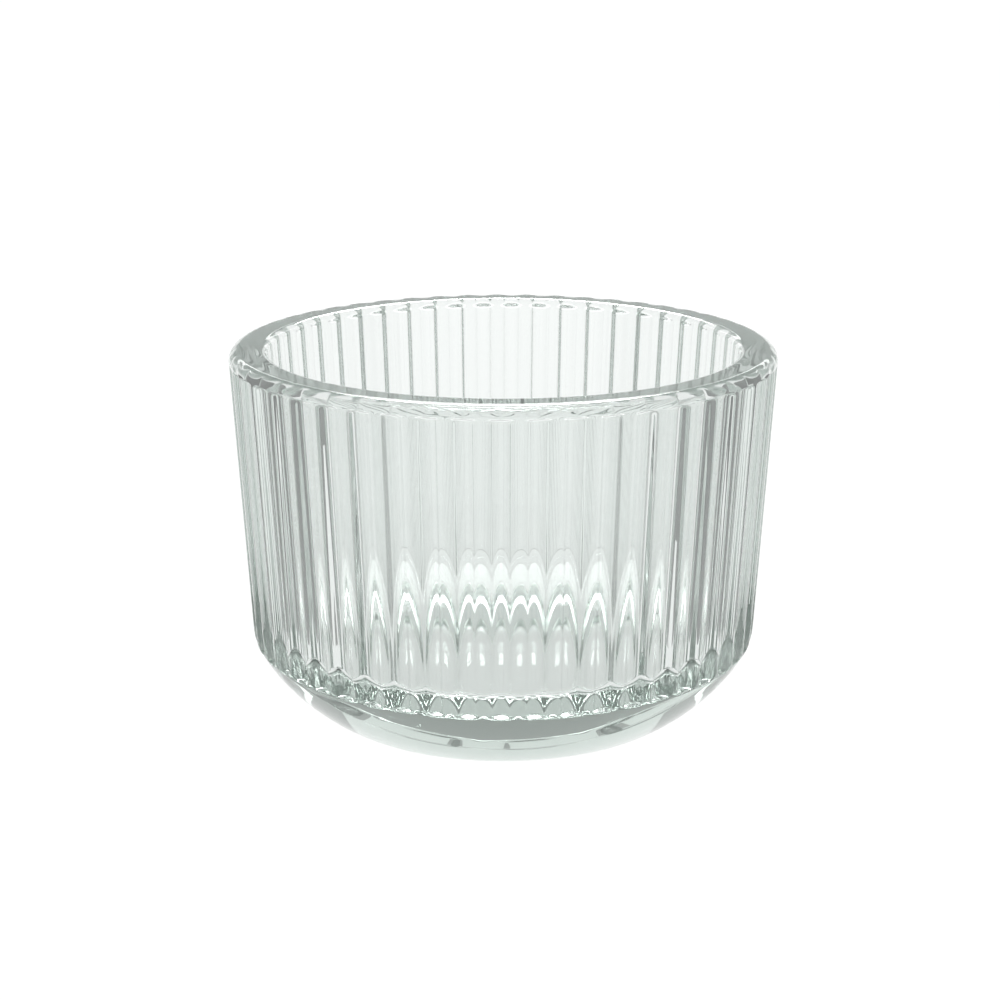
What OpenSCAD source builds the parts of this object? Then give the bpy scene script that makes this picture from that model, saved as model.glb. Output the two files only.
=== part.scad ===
// Ribbed pressed-glass tealight holder: one heavy bowl of clear glass.
// Millimetres, +Z up. The origin is the middle of the circle that it stands on.

/* [Overall] */
// Height from the table to the rim
height = 61; // [50:0.5:75]
// Diameter over the ribs at the rim
rim_d = 90; // [80:0.5:110]
// Diameter over the ribs where the ribbed wall ends and the foot begins
rib_end_d = 85; // [74:0.5:100]
// Diameter of the circle where the foot meets the table
foot_d = 63; // [50:0.5:75]

/* [Cup] */
// Thickness of the glass at the rim
rim_wall = 6.3; // [4:0.1:9]
// Diameter of the cup where its wall runs into the floor
cup_floor_d = 72; // [62:0.5:74]
// Height of the cup's floor above the table, which is the heavy glass base
floor_z = 13; // [10.5:0.5:20]
// Radius of the corner between the cup's wall and its floor
cup_corner_r = 2; // [1:0.5:8]

/* [Rim] */
// Rounding of the rim's outer edge
rim_outer_round = 1.8; // [0.8:0.1:2]
// Rounding of the rim's inner edge
rim_inner_round = 1.2; // [0.5:0.1:1.8]

/* [Foot] */
// Height of the smooth foot under the ribbed wall
foot_h = 12; // [8:0.5:18]
// Radius of the foot's bulging side
foot_bulge_r = 32; // [24:1:60]
// Width of the flat ring that the glass stands on
stand_ring_w = 2.4; // [1.5:0.1:5]
// Height of the domed hollow under the base
recess_depth = 5; // [1:0.5:7]

/* [Ribs] */
// Number of grooves on each side of the front groove
grooves_per_side = 25; // [20:1:28]
// Angle from the -Y axis to the middle of the front groove, clockwise from above
front_groove_deg = 0.5; // [0:0.1:3]
// Angle from the +Y axis to the middle of the back rib, anticlockwise from above
back_rib_deg = 1.6; // [0:0.1:3]
// Radius of the round groove between two ribs
groove_r = 2; // [1.6:0.1:2.4]
// Depth of a groove under the ribs' faces
groove_depth = 0.8; // [0.4:0.05:1]
// Plain glass left between the rim's top and a groove's round end
groove_top_gap = 1.9; // [1.8:0.1:4]

/* [Hidden] */
$fn = 128;
eps = 0.01;
glass = [0.84, 0.88, 0.87, 0.6];

rim_r = rim_d / 2;
rib_end_r = rib_end_d / 2;
foot_r = foot_d / 2;
cup_rim_r = rim_r - rim_wall;
cup_floor_r = cup_floor_d / 2;
recess_r = foot_r - stand_ring_w;
recess_dome_r = (pow(recess_r, 2) + pow(recess_depth, 2)) / (2 * recess_depth);
wall_top_z = height - rim_outer_round;
wall_taper = atan2(rim_r - rib_end_r, wall_top_z - foot_h);

// The foot's side is an arc from the standing ring's outer edge up to the ribbed wall.
foot_chord = [rib_end_r - foot_r, foot_h];
foot_chord_len = norm(foot_chord);
foot_mid = [foot_r, 0] + foot_chord / 2;
foot_centre_dist = sqrt(pow(foot_bulge_r, 2) - pow(foot_chord_len / 2, 2));
foot_centre = foot_mid + foot_centre_dist * [-foot_chord[1], foot_chord[0]] / foot_chord_len;

// Angle from the front groove to the back rib by the right side, and height where a groove's end starts.
right_side_deg = 180 + front_groove_deg + back_rib_deg;
groove_end_z = height - groove_top_gap - sqrt(pow(groove_r, 2) - pow(groove_r - groove_depth, 2));

// Radius over the ribs at a height.
function wall_r(z) = rib_end_r + (z - foot_h) * tan(wall_taper);

// Half section of the outside, without the grooves.
module outer_section() {
    intersection() {
        square([rib_end_r, foot_h]);
        translate(foot_centre) circle(r = foot_bulge_r);
    }
    polygon([
        [0, foot_h - eps],
        [rib_end_r, foot_h - eps],
        [rim_r, wall_top_z],
        [0, wall_top_z]
    ]);
    translate([0, wall_top_z - eps]) square([rim_r - rim_outer_round, rim_outer_round + eps]);
    translate([rim_r - rim_outer_round, wall_top_z]) circle(r = rim_outer_round);
}

// Half section of the cup, with a rounded corner at the floor and at the rim's inner edge.
module cup_section() {
    corner_top_z = floor_z + cup_corner_r;
    polygon([
        [0, corner_top_z],
        [cup_floor_r, corner_top_z],
        [cup_rim_r, height - rim_inner_round],
        [cup_rim_r, height + 1],
        [0, height + 1]
    ]);
    translate([0, floor_z]) square([cup_floor_r - cup_corner_r, cup_corner_r + eps]);
    intersection() {
        translate([cup_floor_r - cup_corner_r - eps, floor_z])
            square([cup_corner_r + eps, cup_corner_r + eps]);
        translate([cup_floor_r - cup_corner_r, corner_top_z]) circle(r = cup_corner_r);
    }
    difference() {
        translate([cup_rim_r - eps, height - rim_inner_round])
            square([rim_inner_round + eps, rim_inner_round + 1]);
        translate([cup_rim_r + rim_inner_round, height - rim_inner_round])
            circle(r = rim_inner_round);
    }
}

// Half section of the hollow under the base: a shallow dome inside the standing ring.
module recess_section() {
    intersection() {
        translate([0, -1]) square([foot_r, recess_depth + 2]);
        translate([0, recess_depth - recess_dome_r]) circle(r = recess_dome_r);
    }
}

// One groove's cutter: a cylinder along the wall's slope, with a round top end.
module groove_cutter() {
    run = groove_end_z / cos(wall_taper);
    translate([wall_r(groove_end_z) + groove_r - groove_depth, 0, groove_end_z])
        rotate([0, 180 + wall_taper, 0])
            rotate_extrude() {
                square([groove_r, run]);
                intersection() {
                    translate([0, -groove_r]) square([groove_r, groove_r + eps]);
                    circle(r = groove_r);
                }
            }
}

// The grooves of one side, from the front groove at start_deg round to the back rib, side_deg away.
module side_grooves(start_deg, side_deg, first) {
    for (i = [first : grooves_per_side])
        rotate(start_deg + i * side_deg / (grooves_per_side + 0.5)) groove_cutter();
}

module glass_holder() {
    color(glass)
        difference() {
            rotate_extrude()
                difference() {
                    outer_section();
                    cup_section();
                    recess_section();
                }
            side_grooves(-90 - front_groove_deg, right_side_deg, 0);
            side_grooves(-90 - front_groove_deg, right_side_deg - 360, 1);
        }
}

glass_holder();
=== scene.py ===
"""Looks of the ribbed pressed-glass tealight holder: one piece of clear glass on a pale studio floor.

The bowl is one closed mesh, worked out from a half section and a rib formula. It replaces the
CAD node glass_holder, whose box it keeps.
"""

import math

import bpy
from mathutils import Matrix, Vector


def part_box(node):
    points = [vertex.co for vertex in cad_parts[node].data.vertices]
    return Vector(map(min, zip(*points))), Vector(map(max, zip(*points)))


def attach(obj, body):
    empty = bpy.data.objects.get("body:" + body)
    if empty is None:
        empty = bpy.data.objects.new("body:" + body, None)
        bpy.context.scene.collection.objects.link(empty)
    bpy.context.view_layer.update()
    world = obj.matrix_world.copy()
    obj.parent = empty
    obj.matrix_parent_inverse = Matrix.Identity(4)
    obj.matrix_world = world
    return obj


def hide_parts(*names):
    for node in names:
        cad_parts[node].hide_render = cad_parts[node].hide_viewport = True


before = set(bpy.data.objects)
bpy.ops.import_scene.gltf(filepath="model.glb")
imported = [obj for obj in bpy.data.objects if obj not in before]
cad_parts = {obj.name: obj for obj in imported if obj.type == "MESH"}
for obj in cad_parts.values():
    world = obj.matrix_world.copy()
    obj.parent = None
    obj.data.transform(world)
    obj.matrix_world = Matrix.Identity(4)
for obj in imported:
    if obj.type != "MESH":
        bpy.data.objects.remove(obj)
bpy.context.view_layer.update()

MM = 0.001
NODE = "glass_holder"

# ---------------------------------------------------------------- sizes, in mm, from the frame
(box_low, box_high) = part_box(NODE)
RIM_R = (box_high[0] - box_low[0]) / 2 / MM
HEIGHT = (box_high[2] - box_low[2]) / MM

# The glass, as in part.scad.
WALL_LEAN = 2.5
FOOT_INSET = 13.5
CUP_FLOOR_INSET = 9.0
RIB_END_R = RIM_R - WALL_LEAN
FOOT_R = RIM_R - FOOT_INSET
FOOT_H = 12.0
FOOT_BULGE_R = 32.0
RIM_WALL = 6.3
CUP_RIM_R = RIM_R - RIM_WALL
CUP_FLOOR_R = RIM_R - CUP_FLOOR_INSET
FLOOR_Z = 13.0
CUP_CORNER_R = 2.0
RIM_OUTER_ROUND = 1.8
RIM_INNER_ROUND = 1.2
STAND_RING_W = 2.4
RECESS_DEPTH = 5.0
RECESS_R = FOOT_R - STAND_RING_W
RECESS_DOME_R = (RECESS_R ** 2 + RECESS_DEPTH ** 2) / (2 * RECESS_DEPTH)

# Ribs and grooves. Part.scad cuts plain round grooves. Here the ribs are round too: a rib and a groove
# are arcs of one radius, which meet half-way down a rib's side at RIB_SLOPE_DEG.
GROOVES_PER_SIDE = 25
FRONT_GROOVE_DEG = 0.5
BACK_RIB_DEG = 1.6
RIB_SLOPE_DEG = 41.0
GROOVE_TOP_GAP = 1.9
GROOVE_END_R = 0.6
GROOVE_END_Z = HEIGHT - GROOVE_TOP_GAP - GROOVE_END_R
SHELF_Z = 11.5
SHELF_RISE = 0.5
SAMPLES_PER_RIB = 28

# How far the rim's rounded edge draws in, and dips, over a groove.
RIM_RIPPLE = 0.2
RIM_DIP = 0.1

# Closer rows of the mesh: round the foot's top edge, and from under the grooves' ends up.
EDGE_ROWS = (FOOT_H - 2.5, FOOT_H + 1.5)
TOP_ROWS_Z = HEIGHT - 6.0

# Width of the rounded change-over between the ribbed wall and the foot.
FOOT_BLEND = 0.25

PITCH_DEG = 180 / (GROOVES_PER_SIDE + 0.5)
WALL_TOP_Z = HEIGHT - RIM_OUTER_ROUND
WALL_SLOPE = (RIM_R - RIB_END_R) / (WALL_TOP_Z - FOOT_H)


def smooth_max(a, b, k):
    """The larger of two values, with a rounded change-over k wide."""
    return 0.5 * (a + b + math.sqrt((a - b) ** 2 + k * k))


def smooth_min(a, b, k):
    return -smooth_max(-a, -b, k)


def foot_centre():
    """Centre of the arc that bulges from the standing ring's edge up to the ribbed wall."""
    run, rise = RIB_END_R - FOOT_R, FOOT_H
    chord = math.hypot(run, rise)
    away = math.sqrt(FOOT_BULGE_R ** 2 - (chord / 2) ** 2)
    return (FOOT_R + run / 2 - away * rise / chord, rise / 2 + away * run / chord)


FOOT_CX, FOOT_CZ = foot_centre()


def wall_r(z):
    return RIB_END_R + (z - FOOT_H) * WALL_SLOPE


def foot_r(z):
    return FOOT_CX + math.sqrt(FOOT_BULGE_R ** 2 - min(z - FOOT_CZ, 0.0) ** 2)


# ---------------------------------------------------------------- ribs
def groove_angles():
    """The middle of each groove, in degrees from -Y round by +X, and of the first one again."""
    right = (180 + FRONT_GROOVE_DEG + BACK_RIB_DEG) / (GROOVES_PER_SIDE + 0.5)
    left = (180 - FRONT_GROOVE_DEG - BACK_RIB_DEG) / (GROOVES_PER_SIDE + 0.5)
    angles = [-FRONT_GROOVE_DEG + right * i for i in range(GROOVES_PER_SIDE + 1)]
    angles += [360 - FRONT_GROOVE_DEG - left * i for i in range(GROOVES_PER_SIDE, -1, -1)]
    return angles


def angle_samples():
    """Angles round the bowl, in degrees, each with its place (-1 to 1) between the grooves beside it."""
    angles = groove_angles()
    samples = []
    for start, end in zip(angles, angles[1:]):
        for k in range(SAMPLES_PER_RIB):
            t = -1.0 + 2.0 * k / SAMPLES_PER_RIB
            samples.append((start + (end - start) * (t + 1) / 2, t))
    return samples


def glass_off(t, z, radius):
    """Depth of the surface under the cone over the ribs. t is 0 at a rib's crown, 1 or -1 in a groove."""
    quarter = radius * math.radians(PITCH_DEG) / 4
    arc_r = quarter / math.sin(math.radians(RIB_SLOPE_DEG))
    from_crown = abs(t) * quarter * 2
    sag = arc_r * (1 - math.cos(math.radians(RIB_SLOPE_DEG)))
    if from_crown < quarter:
        depth = arc_r - math.sqrt(arc_r ** 2 - from_crown ** 2)
    else:
        depth = 2 * sag - arc_r + math.sqrt(arc_r ** 2 - (2 * quarter - from_crown) ** 2)
    up = max(0.0, z - GROOVE_END_Z) / GROOVE_END_R
    round_end = math.sqrt(max(0.0, 1 - up * up))
    rise = min(max((z - SHELF_Z) / SHELF_RISE, 0.0), 1.0)
    return depth * round_end * rise * rise * (3 - 2 * rise)


# ---------------------------------------------------------------- the half section
def steps(a, b, count):
    """count values from a to b, b left out."""
    return [a + (b - a) * i / count for i in range(count)]


def eased(a, b, count):
    """count values from a to b, closer together at both ends, b left out."""
    return [a + (b - a) * (1 - math.cos(math.pi * i / count)) / 2 for i in range(count)]


def arc(cx, cz, r, start, end, count):
    """Points on an arc, angles in degrees from +x, end left out."""
    return [(cx + r * math.cos(math.radians(a)), cz + r * math.sin(math.radians(a)))
            for a in steps(start, end, count)]


def section():
    """The half section's points, from the middle of the underside round to near the floor's middle.

    Each is (r, z, kind). On the 'wall' the ribs and the foot give the radius, the 'rim' has a slight
    ripple, and the rest is 'plain'. The last number of steps(), eased() and arc() is a count of rows.
    """
    plain = []
    for r in steps(0.0, RECESS_R, 24):
        plain.append((r, RECESS_DEPTH - RECESS_DOME_R + math.sqrt(RECESS_DOME_R ** 2 - r * r)))
    for r in steps(RECESS_R, FOOT_R, 5):
        plain.append((r, 0.0))
    points = [(r, z, "plain") for r, z in plain]
    points += [(0, z, "wall") for z in steps(0.0, EDGE_ROWS[0], 16)]
    points += [(0, z, "wall") for z in steps(EDGE_ROWS[0], EDGE_ROWS[1], 24)]
    points += [(0, z, "wall") for z in eased(EDGE_ROWS[1], TOP_ROWS_Z, 14)]
    points += [(0, z, "wall") for z in steps(TOP_ROWS_Z, WALL_TOP_Z, 18)]
    rim = arc(RIM_R - RIM_OUTER_ROUND, WALL_TOP_Z, RIM_OUTER_ROUND, 0, 90, 16)
    points += [(r, z, "rim") for r, z in rim]
    inner = [(r, HEIGHT) for r in steps(RIM_R - RIM_OUTER_ROUND, CUP_RIM_R + RIM_INNER_ROUND, 4)]
    inner += arc(CUP_RIM_R + RIM_INNER_ROUND, HEIGHT - RIM_INNER_ROUND, RIM_INNER_ROUND, 90, 180, 12)
    corner_top = FLOOR_Z + CUP_CORNER_R
    top = HEIGHT - RIM_INNER_ROUND
    for z in eased(top, corner_top, 20):
        up = (z - corner_top) / (top - corner_top)
        inner.append((CUP_FLOOR_R + (CUP_RIM_R - CUP_FLOOR_R) * up, z))
    inner += arc(CUP_FLOOR_R - CUP_CORNER_R, corner_top, CUP_CORNER_R, 0, -90, 20)
    inner += [(r, FLOOR_Z) for r in steps(CUP_FLOOR_R - CUP_CORNER_R, 0.0, 8)]
    points += [(r, z, "plain") for r, z in inner]
    return points


def radius_at(point, t):
    """Radius of a point of the half section, at a place t between two grooves."""
    r, z, kind = point
    if kind == "wall":
        cone = wall_r(z)
        cut = cone - glass_off(t, z, cone)
        return smooth_min(cut, foot_r(z), FOOT_BLEND)
    if kind == "rim":
        return r - RIM_RIPPLE * t * t * rim_edge(z)
    return r


def rim_edge(z):
    """How much of the rim's ripple shows at a height: most near the rounded edge's middle."""
    up = (z - WALL_TOP_Z) / RIM_OUTER_ROUND
    return math.sin(math.pi * min(max(up, 0.0), 1.0) ** 0.8)


def height_at(point, t):
    r, z, kind = point
    if kind == "rim":
        return z - RIM_DIP * t * t * rim_edge(z)
    return z


def bowl_mesh():
    """The closed glass: rings of points, and a point in the middle under and over the base."""
    points = section()
    samples = angle_samples()
    around = len(samples)
    verts, faces = [], []
    for point in points[1:]:
        for deg, t in samples:
            angle = math.radians(deg - 90)
            r = radius_at(point, t) * MM
            verts.append((r * math.cos(angle), r * math.sin(angle), height_at(point, t) * MM))
    for i in range(len(points) - 2):
        for j in range(around):
            k = (j + 1) % around
            low, high = i * around, (i + 1) * around
            faces.append((low + j, low + k, high + k, high + j))
    under = len(verts)
    verts.append((0, 0, RECESS_DEPTH * MM))
    floor = len(verts)
    verts.append((0, 0, FLOOR_Z * MM))
    last = (len(points) - 2) * around
    for j in range(around):
        k = (j + 1) % around
        faces.append((under, k, j))
        faces.append((floor, last + j, last + k))
    mesh = bpy.data.meshes.new("glass_bowl")
    mesh.from_pydata(verts, [], faces)
    mesh.validate()
    for face in mesh.polygons:
        face.use_smooth = True
    return mesh


# ---------------------------------------------------------------- material
GLASS_TINTS = ((0.890, 0.912, 0.902, 1), (0.910, 0.927, 0.920, 1))
GLASS_DEPTH_TINT = (0.940, 0.950, 0.945, 1)
GLASS_DEPTH_DENSITY = 140.0
GLASS_IOR = 1.52
TINT_SCALE = 45.0
SMEAR_SCALE = 320.0
SMEAR_RANGE = (0.55, 0.80)
SMEAR_ROUGHNESS = (0.0, 0.03)
WAVE_SCALE = 70.0
WAVE_HEIGHT = 0.00025
WAVE_STRENGTH = 0.06


def noise(nodes, links, coords, scale, detail):
    node = nodes.new("ShaderNodeTexNoise")
    node.inputs["Scale"].default_value = scale
    node.inputs["Detail"].default_value = detail
    links.new(coords.outputs["Object"], node.inputs["Vector"])
    return node


def glass_material():
    """Clear pressed glass: a faint green tint that drifts, slight surface waves and faint smears."""
    mat = bpy.data.materials.new("clear_pressed_glass")
    mat.use_nodes = True
    nodes, links = mat.node_tree.nodes, mat.node_tree.links
    shader = nodes["Principled BSDF"]
    output = nodes["Material Output"]
    coords = nodes.new("ShaderNodeTexCoord")

    drift = noise(nodes, links, coords, TINT_SCALE, 2.0)
    tint = nodes.new("ShaderNodeMix")
    tint.data_type = "RGBA"
    tint.inputs[6].default_value = GLASS_TINTS[0]
    tint.inputs[7].default_value = GLASS_TINTS[1]
    links.new(drift.outputs["Fac"], tint.inputs[0])
    links.new(tint.outputs[2], shader.inputs["Base Color"])

    smear = noise(nodes, links, coords, SMEAR_SCALE, 4.0)
    rough = nodes.new("ShaderNodeMapRange")
    rough.inputs["From Min"].default_value = SMEAR_RANGE[0]
    rough.inputs["From Max"].default_value = SMEAR_RANGE[1]
    rough.inputs["To Min"].default_value = SMEAR_ROUGHNESS[0]
    rough.inputs["To Max"].default_value = SMEAR_ROUGHNESS[1]
    links.new(smear.outputs["Fac"], rough.inputs["Value"])
    links.new(rough.outputs["Result"], shader.inputs["Roughness"])

    waves = noise(nodes, links, coords, WAVE_SCALE, 3.0)
    bump = nodes.new("ShaderNodeBump")
    bump.inputs["Strength"].default_value = WAVE_STRENGTH
    bump.inputs["Distance"].default_value = WAVE_HEIGHT
    links.new(waves.outputs["Fac"], bump.inputs["Height"])
    links.new(bump.outputs["Normal"], shader.inputs["Normal"])

    shader.inputs["IOR"].default_value = GLASS_IOR
    shader.inputs["Transmission Weight"].default_value = 1.0
    absorb = nodes.new("ShaderNodeVolumeAbsorption")
    absorb.inputs["Color"].default_value = GLASS_DEPTH_TINT
    absorb.inputs["Density"].default_value = GLASS_DEPTH_DENSITY
    links.new(absorb.outputs["Volume"], output.inputs["Volume"])
    return mat


def make_bowl():
    bowl = bpy.data.objects.new("glass_bowl", bowl_mesh())
    bpy.context.collection.objects.link(bowl)
    bowl.data.materials.append(glass_material())
    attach(bowl, "root")
    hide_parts(NODE)


# ---------------------------------------------------------------- camera, floor and light
CAM_ELEVATION = math.radians(16.93)
CAM_DISTANCE_IN_RADII = 7.5
CAM_DISTANCE = CAM_DISTANCE_IN_RADII * RIM_R * MM
CAM_LENS = 71.8
CAM_SHIFT = (-0.0033, 0.0194)


def make_camera():
    data = bpy.data.cameras.new("camera")
    data.lens = CAM_LENS
    data.sensor_width = 36.0
    data.shift_x = CAM_SHIFT[0]
    data.shift_y = CAM_SHIFT[1]
    data.clip_start = 0.01
    cam = bpy.data.objects.new("camera", data)
    bpy.context.collection.objects.link(cam)
    target_z = HEIGHT * MM / 2
    cam.location = (0, -CAM_DISTANCE * math.cos(CAM_ELEVATION),
                    target_z + CAM_DISTANCE * math.sin(CAM_ELEVATION))
    cam.rotation_euler = (math.pi / 2 - CAM_ELEVATION, 0, 0)
    bpy.context.scene.camera = cam


FLOOR_HALF_SIZE = 6.0
FLOOR_GAP = 0.0002
FLOOR_GLOW = 1.0
FLOOR_BASE = 0.05
# Painted shade under the glass: SHADE_GLOW is the floor's lower glow there, and SHADE_RADII is where it
# fades back out.
SHADE_GLOW = 0.95
SHADE_RADII = (0.024, 0.034)
WORLD_GREY = 0.6
FLAG_RADIUS = 0.07
FLAG_HEIGHT = 0.10
FLAG_GREY = 0.40
FLAGS = ((75, 105), (255, 285))
BOX_POWER = 5.0
BOX_SIZE = 0.30
BOX_PLACE = (0, 0.45, 0.50)
BOX_TILT = math.radians(-42)
PANEL_GLOW = 1.3
PANEL_WIDTH = 0.60
PANEL_HEIGHT = 0.15
PANEL_Y = 0.60
STRIP_GLOW = 3.0
STRIP_RADIUS = 3.0
STRIP_HEIGHTS = (0.90, 1.06)
STRIP_HALF_DEG = 75
CARD_STEPS = 24


def make_floor():
    """A pale floor that glows evenly, with painted shade under the glass: it glows a little less there.
    """
    mesh = bpy.data.meshes.new("floor")
    s = FLOOR_HALF_SIZE
    mesh.from_pydata([(-s, -s, 0), (s, -s, 0), (s, s, 0), (-s, s, 0)], [], [(0, 1, 2, 3)])
    floor = bpy.data.objects.new("floor", mesh)
    floor.location.z = -FLOOR_GAP
    bpy.context.collection.objects.link(floor)
    mat = bpy.data.materials.new("floor")
    mat.use_nodes = True
    nodes, links = mat.node_tree.nodes, mat.node_tree.links
    shader = nodes["Principled BSDF"]
    shader.inputs["Base Color"].default_value = (FLOOR_BASE, FLOOR_BASE, FLOOR_BASE, 1)
    shader.inputs["Roughness"].default_value = 0.9
    shader.inputs["Specular IOR Level"].default_value = 0.0
    shader.inputs["Emission Color"].default_value = (1, 1, 1, 1)
    coords = nodes.new("ShaderNodeTexCoord")
    away = nodes.new("ShaderNodeVectorMath")
    away.operation = "LENGTH"
    links.new(coords.outputs["Object"], away.inputs[0])
    # Painted shade: the glow drops to SHADE_GLOW under the glass, within SHADE_RADII of the middle.
    glow = nodes.new("ShaderNodeMapRange")
    glow.interpolation_type = "SMOOTHSTEP"
    glow.inputs["From Min"].default_value = SHADE_RADII[0]
    glow.inputs["From Max"].default_value = SHADE_RADII[1]
    glow.inputs["To Min"].default_value = SHADE_GLOW
    glow.inputs["To Max"].default_value = FLOOR_GLOW
    links.new(away.outputs["Value"], glow.inputs["Value"])
    links.new(glow.outputs["Result"], shader.inputs["Emission Strength"])
    mesh.materials.append(mat)


def card_material(name, grey, glow):
    mat = bpy.data.materials.new(name)
    mat.use_nodes = True
    shader = mat.node_tree.nodes["Principled BSDF"]
    shader.inputs["Base Color"].default_value = (grey, grey, grey, 1)
    shader.inputs["Roughness"].default_value = 0.9
    shader.inputs["Specular IOR Level"].default_value = 0.0
    shader.inputs["Emission Color"].default_value = (1, 1, 1, 1)
    shader.inputs["Emission Strength"].default_value = glow
    return mat


def make_card(name, verts, faces, mat):
    """A card of the set, out of the camera's sight, that the glass still refracts and mirrors."""
    mesh = bpy.data.meshes.new(name)
    mesh.from_pydata(verts, [], faces)
    mesh.materials.append(mat)
    card = bpy.data.objects.new(name, mesh)
    bpy.context.collection.objects.link(card)
    card.visible_camera = False
    card.visible_shadow = False


def bent_cards(radius, low, high, spans):
    """Corners and faces of upright cards bent round the glass, one per span of degrees from the front."""
    verts, faces = [], []
    for start, end in spans:
        for i in range(CARD_STEPS + 1):
            angle = math.radians(start + (end - start) * i / CARD_STEPS - 90)
            x, y = radius * math.cos(angle), radius * math.sin(angle)
            verts += [(x, y, low), (x, y, high)]
            if i < CARD_STEPS:
                k = len(verts) - 2
                faces.append((k, k + 2, k + 3, k + 1))
    return verts, faces


def make_flags():
    """Dark cards at both sides, which give the glass's lines their contrast."""
    verts, faces = bent_cards(FLAG_RADIUS, 0.0, FLAG_HEIGHT, FLAGS)
    make_card("flags", verts, faces, card_material("flag_cloth", FLAG_GREY, 0.0))


def make_panel():
    """A pale card low behind the glass, which lights the foot."""
    x, y, top = PANEL_WIDTH / 2, PANEL_Y, PANEL_HEIGHT
    verts = [(-x, y, 0), (x, y, 0), (x, y, top), (-x, y, top)]
    make_card("panel", verts, [(0, 1, 2, 3)], card_material("panel_card", 0.0, PANEL_GLOW))


def make_strip():
    """A bright strip low at the back: the far part of the cup's floor mirrors it as a white band."""
    span = (180 - STRIP_HALF_DEG, 180 + STRIP_HALF_DEG)
    verts, faces = bent_cards(STRIP_RADIUS, STRIP_HEIGHTS[0], STRIP_HEIGHTS[1], (span,))
    make_card("strip", verts, faces, card_material("strip_light", 0.0, STRIP_GLOW))


def make_softbox():
    """A soft light over the back of the set, which the glass picks up as white lines and sparkles."""
    data = bpy.data.lights.new("softbox", "AREA")
    data.energy = BOX_POWER
    data.shape = "SQUARE"
    data.size = BOX_SIZE
    light = bpy.data.objects.new("softbox", data)
    light.location = BOX_PLACE
    light.rotation_euler = (BOX_TILT, 0, 0)
    bpy.context.collection.objects.link(light)


def make_world():
    world = bpy.data.worlds.new("studio")
    bpy.context.scene.world = world
    world.use_nodes = True
    back = world.node_tree.nodes["Background"]
    back.inputs["Color"].default_value = (WORLD_GREY, WORLD_GREY, WORLD_GREY, 1)
    back.inputs["Strength"].default_value = 1.0


def set_look():
    scene = bpy.context.scene
    scene.view_settings.view_transform = "Standard"
    scene.cycles.max_bounces = 32
    scene.cycles.transmission_bounces = 32
    scene.cycles.glossy_bounces = 16
    scene.cycles.transparent_max_bounces = 16
    scene.cycles.use_denoising = True


make_camera()
make_floor()
make_flags()
make_panel()
make_strip()
make_softbox()
make_world()
make_bowl()
set_look()
